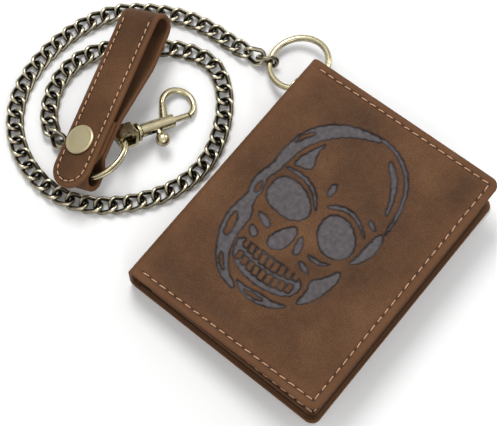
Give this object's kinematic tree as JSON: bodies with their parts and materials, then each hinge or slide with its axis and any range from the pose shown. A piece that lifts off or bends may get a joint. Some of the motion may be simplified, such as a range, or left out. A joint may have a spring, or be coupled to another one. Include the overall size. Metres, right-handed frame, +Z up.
{
  "type": "chain wallet",
  "caption": "Leather bifold wallet with an embossed cover, a curb chain, a snap belt strap and a swivel hook.",
  "frame": {"origin": "centre of the back cover's outer face, on which the wallet lies", "axes": "+X from the spine to the free edge, +Y up the spine towards the ring, +Z up out of the front cover"},
  "size_m": [0.1914, 0.131, 0.0278],
  "materials": {
    "leather": "matte, waxed and rubbed",
    "lining": "matte",
    "thread": "waxed thread",
    "clear_plastic": "clear",
    "antique_brass": "antiqued, dark in the recesses",
    "spring_steel": "bright"
  },
  "bodies": {
    "wallet_back": {"cover_back": "leather", "cover_spine": "leather", "lining_back": "lining", "note_panel_back": "lining", "card_pocket_back_1": "leather", "card_pocket_back_2": "leather", "card_pocket_back_3": "leather", "eyelet": "antique_brass", "eyelet_washer": "antique_brass", "thread_back": "thread"},
    "wallet_front": {"cover_front": "leather", "lining_front": "lining", "note_panel_front": "lining", "id_window_frame": "leather", "id_window": "clear_plastic", "thread_front": "thread"},
    "wallet_ring": {"wallet_ring": "antique_brass"},
    "chain_1": {"chain_1": "antique_brass"},
    "chain_2": {"chain_2": "antique_brass"},
    "chain_3": {"chain_3": "antique_brass"},
    "chain_4": {"chain_4": "antique_brass"},
    "chain_5": {"chain_5": "antique_brass"},
    "chain_6": {"chain_6": "antique_brass"},
    "split_ring": {"split_ring": "antique_brass"},
    "strap_base": {"strap_back": "leather", "snap_stud": "antique_brass"},
    "strap_flap": {"strap_front": "leather", "strap_thread": "thread", "snap_cap": "antique_brass"},
    "swivel_eye": {"swivel_eye": "antique_brass"},
    "hook": {"swivel_pin": "antique_brass", "hook_body": "antique_brass", "bolt_spring": "spring_steel"},
    "bolt": {"hook_bolt": "antique_brass", "thumb_knob": "antique_brass"}
  },
  "joints": [
    {"name": "cover_fold", "type": "hinge", "parent": "wallet_back", "child": "wallet_front", "pos_m": [-0.0466, 0, 0.0156], "axis": [0, -1, 0], "range_deg": [0, 150]},
    {"name": "ring_swing", "type": "hinge", "parent": "wallet_back", "child": "wallet_ring", "pos_m": [-0.0466, 0.04649, 0.00902], "axis": [0, -1, 0], "range_deg": [-35, 0]},
    {"name": "chain_lift", "type": "hinge", "parent": "wallet_ring", "child": "chain_1", "pos_m": [-0.06393, 0.05135, 0.00437], "axis": [0.4317, -0.8945, 0.1157], "range_deg": [-50, 0]},
    {"name": "chain_twist_1", "type": "hinge", "parent": "chain_1", "child": "chain_2", "pos_m": [-0.12876, 0.02858, 0.00215], "axis": [0.6434, 0.7655, 0], "range_deg": [-15, 0]},
    {"name": "chain_twist_2", "type": "hinge", "parent": "chain_2", "child": "chain_3", "pos_m": [-0.1283, -0.03857, 0.00215], "axis": [-0.7, 0.7141, 0], "range_deg": [-15, 0]},
    {"name": "chain_twist_3", "type": "hinge", "parent": "chain_3", "child": "chain_4", "pos_m": [-0.06601, -0.03023, 0.00215], "axis": [-0.5873, -0.8094, 0], "range_deg": [-15, 0]},
    {"name": "chain_twist_4", "type": "hinge", "parent": "chain_4", "child": "chain_5", "pos_m": [-0.07686, 0.03296, 0.00215], "axis": [0.8909, -0.4541, 0], "range_deg": [-15, 0]},
    {"name": "chain_twist_5", "type": "hinge", "parent": "chain_5", "child": "chain_6", "pos_m": [-0.12749, -0.00001, 0.00215], "axis": [0.2143, 0.9768, 0], "range_deg": [-15, 0]},
    {"name": "split_ring_swing", "type": "hinge", "parent": "chain_6", "child": "split_ring", "pos_m": [-0.10372, -0.03055, 0.00387], "axis": [-0.2025, 0.9741, -0.1009], "range_deg": [-20, 0]},
    {"name": "strap_swing", "type": "hinge", "parent": "split_ring", "child": "strap_base", "pos_m": [-0.08966, -0.04034, 0.01091], "axis": [-0.8707, -0.2262, -0.4367], "range_deg": [-20, 0]},
    {"name": "snap_flap", "type": "hinge", "parent": "strap_base", "child": "strap_flap", "pos_m": [-0.11297, 0.02359, 0.02358], "axis": [0.8707, 0.2262, 0.4367], "range_deg": [-120, 0]},
    {"name": "hook_swing", "type": "hinge", "parent": "split_ring", "child": "swivel_eye", "pos_m": [-0.08701, -0.0159, 0.01226], "axis": [-0.7972, 0.4528, -0.3994], "range_deg": [-22, 0]},
    {"name": "hook_swivel", "type": "hinge", "parent": "swivel_eye", "child": "hook", "pos_m": [-0.08701, -0.0159, 0.01226], "axis": [0.3876, 0.8705, -0.3034], "continuous": true},
    {"name": "bolt_slide", "type": "slide", "parent": "hook", "child": "bolt", "axis": [0.3876, 0.8705, -0.3034], "range_m": [-0.0035, 0], "stiffness_N_per_m": 60, "deforming": ["bolt_spring"]}
  ]
}
